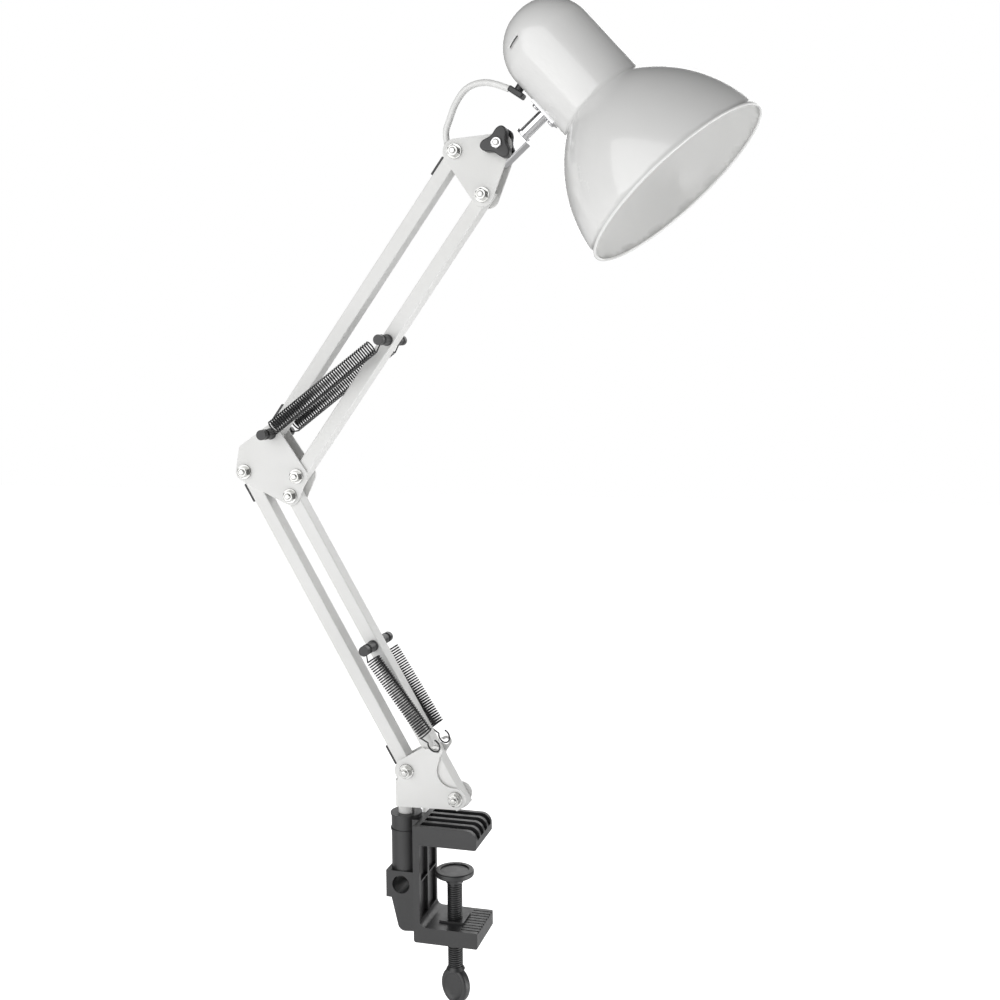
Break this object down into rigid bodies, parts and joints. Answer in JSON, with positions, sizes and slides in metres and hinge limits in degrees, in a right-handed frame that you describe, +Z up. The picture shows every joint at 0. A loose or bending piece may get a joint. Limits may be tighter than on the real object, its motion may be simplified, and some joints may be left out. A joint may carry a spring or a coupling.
{
  "type": "swing arm desk lamp",
  "caption": "Clamp-on desk lamp with two sprung parallel-bar arms, a tilting and swivelling bell shade, and a screw clamp that holds it to a desk edge.",
  "frame": {"origin": "on the clamp screw's axis, in the desk face of the top jaw", "axes": "+Z up; the arms fold in the XZ plane with the shade towards +X; -Y is the side with the knob"},
  "size_m": [0.4262, 0.1609, 0.7864],
  "materials": {
    "white_paint": "satin powder coat, white",
    "shade_enamel": "glossy stove enamel, white inside and out",
    "black_plastic": "moulded nylon, black, fine grain",
    "zinc": "bright zinc plate",
    "chrome": "polished",
    "nylon": "natural nylon",
    "spring_steel": "black oxide spring wire",
    "lead_vinyl": "white vinyl sheath",
    "holder_moulding": "white moulded thermoset"
  },
  "bodies": {
    "clamp": {"clamp_body": "black_plastic", "lead_drop": "lead_vinyl", "lead_hank": "lead_vinyl", "lead_tail": "lead_vinyl", "plug_body": "lead_vinyl", "plug_pins": "chrome"},
    "clamp_pad": {"clamp_pad": "black_plastic"},
    "clamp_screw": {"clamp_screw": "black_plastic"},
    "base": {"base_bracket": "white_paint", "cord_grommet": "black_plastic", "base_bolts": "zinc", "base_nuts": "zinc", "lead_foot": "lead_vinyl"},
    "lower_left": {"lower_bar_left": "white_paint", "lower_bar_left_bushes": "nylon", "lower_clip_bottom": "black_plastic", "lower_clip_top": "black_plastic", "lead_lower": "lead_vinyl"},
    "lower_right": {"lower_bar_right": "white_paint", "lower_bar_right_bushes": "nylon", "lower_peg_pin": "zinc", "lower_peg_caps": "black_plastic", "lower_spring_front": "spring_steel", "lower_spring_rear": "spring_steel"},
    "elbow": {"elbow_plate_front": "white_paint", "elbow_plate_rear": "white_paint", "elbow_bolts": "zinc", "elbow_nuts": "zinc", "elbow_peg_pin": "zinc", "elbow_peg_caps": "black_plastic", "lead_elbow": "lead_vinyl"},
    "upper_left": {"upper_bar_left": "white_paint", "upper_bar_left_bushes": "nylon", "upper_clip_bottom": "black_plastic", "upper_clip_top": "black_plastic", "lead_upper": "lead_vinyl"},
    "upper_right": {"upper_bar_right": "white_paint", "upper_bar_right_bushes": "nylon", "upper_peg_pin": "zinc", "upper_peg_caps": "black_plastic", "upper_spring_front": "spring_steel", "upper_spring_rear": "spring_steel"},
    "head": {"head_plate_front": "white_paint", "head_plate_rear": "white_paint", "head_bolts": "zinc", "head_nuts": "zinc", "tilt_bolt": "zinc", "tilt_washers": "zinc", "lead_head": "lead_vinyl"},
    "knob": {"tilt_knob": "black_plastic", "knob_nut": "chrome"},
    "yoke": {"yoke": "chrome"},
    "shade": {"shade": "shade_enamel", "stem_tube": "chrome", "saddle_plate": "chrome", "saddle_screws": "chrome", "lamp_holder": "holder_moulding", "holder_strap": "zinc", "cord_gland": "black_plastic", "lead_shade": "lead_vinyl"}
  },
  "joints": [
    {"name": "pad_slide", "type": "slide", "parent": "clamp", "child": "clamp_pad", "axis": [0, 0, 1], "range_m": [-0.026, 0.0245]},
    {"name": "screw_turn", "type": "hinge", "parent": "clamp_pad", "child": "clamp_screw", "pos_m": [0, 0, 0], "axis": [0, 0, 1], "range_deg": [-5360, 5050]},
    {"name": "base_swivel", "type": "hinge", "parent": "clamp", "child": "base", "pos_m": [-0.04, 0, 0], "axis": [0, 0, 1], "range_deg": [-100, 170], "deforming": ["lead_drop"]},
    {"name": "lower_arm", "type": "hinge", "parent": "base", "child": "lower_left", "pos_m": [-0.0362, 0, 0.0535], "axis": [0, 1, 0], "range_deg": [-18, 48], "deforming": ["lead_foot"]},
    {"name": "lower_arm_right", "type": "hinge", "parent": "base", "child": "lower_right", "pos_m": [0.0042, 0, 0.0345], "axis": [0, 1, 0], "range_deg": [-18, 48], "deforming": ["lower_spring_front", "lower_spring_rear"]},
    {"name": "elbow_level", "type": "hinge", "parent": "lower_left", "child": "elbow", "pos_m": [-0.1733, 0, 0.2901], "axis": [0, 1, 0], "range_deg": [-48, 18], "deforming": ["lead_elbow"]},
    {"name": "upper_arm", "type": "hinge", "parent": "elbow", "child": "upper_left", "pos_m": [-0.1491, 0, 0.3213], "axis": [0, 1, 0], "range_deg": [-35, 55]},
    {"name": "upper_arm_right", "type": "hinge", "parent": "elbow", "child": "upper_right", "pos_m": [-0.1272, 0, 0.2871], "axis": [0, 1, 0], "range_deg": [-35, 55], "deforming": ["upper_spring_front", "upper_spring_rear"]},
    {"name": "head_level", "type": "hinge", "parent": "upper_left", "child": "head", "pos_m": [0.0095, 0, 0.5403], "axis": [0, 1, 0], "range_deg": [-55, 35]},
    {"name": "head_tilt", "type": "hinge", "parent": "head", "child": "yoke", "pos_m": [0.046, 0, 0.5433], "axis": [0, 1, 0], "range_deg": [-45, 60], "deforming": ["lead_head"]},
    {"name": "knob_turn", "type": "hinge", "parent": "head", "child": "knob", "pos_m": [0.046, 0, 0.5433], "axis": [0, 1, 0], "range_deg": [-180, 180]},
    {"name": "shade_swivel", "type": "hinge", "parent": "yoke", "child": "shade", "pos_m": [0.04924, 0, 0.53962], "axis": [0.7501, 0, 0.6613], "range_deg": [-90, 90], "deforming": ["lead_shade"]}
  ],
  "couplings": [
    {"joint": "screw_turn", "follows": "pad_slide", "rad_per_m": 3590.4},
    {"joint": "lower_arm_right", "follows": "lower_arm", "ratio": 1},
    {"joint": "elbow_level", "follows": "lower_arm", "ratio": -1},
    {"joint": "upper_arm_right", "follows": "upper_arm", "ratio": 1},
    {"joint": "head_level", "follows": "upper_arm", "ratio": -1}
  ]
}
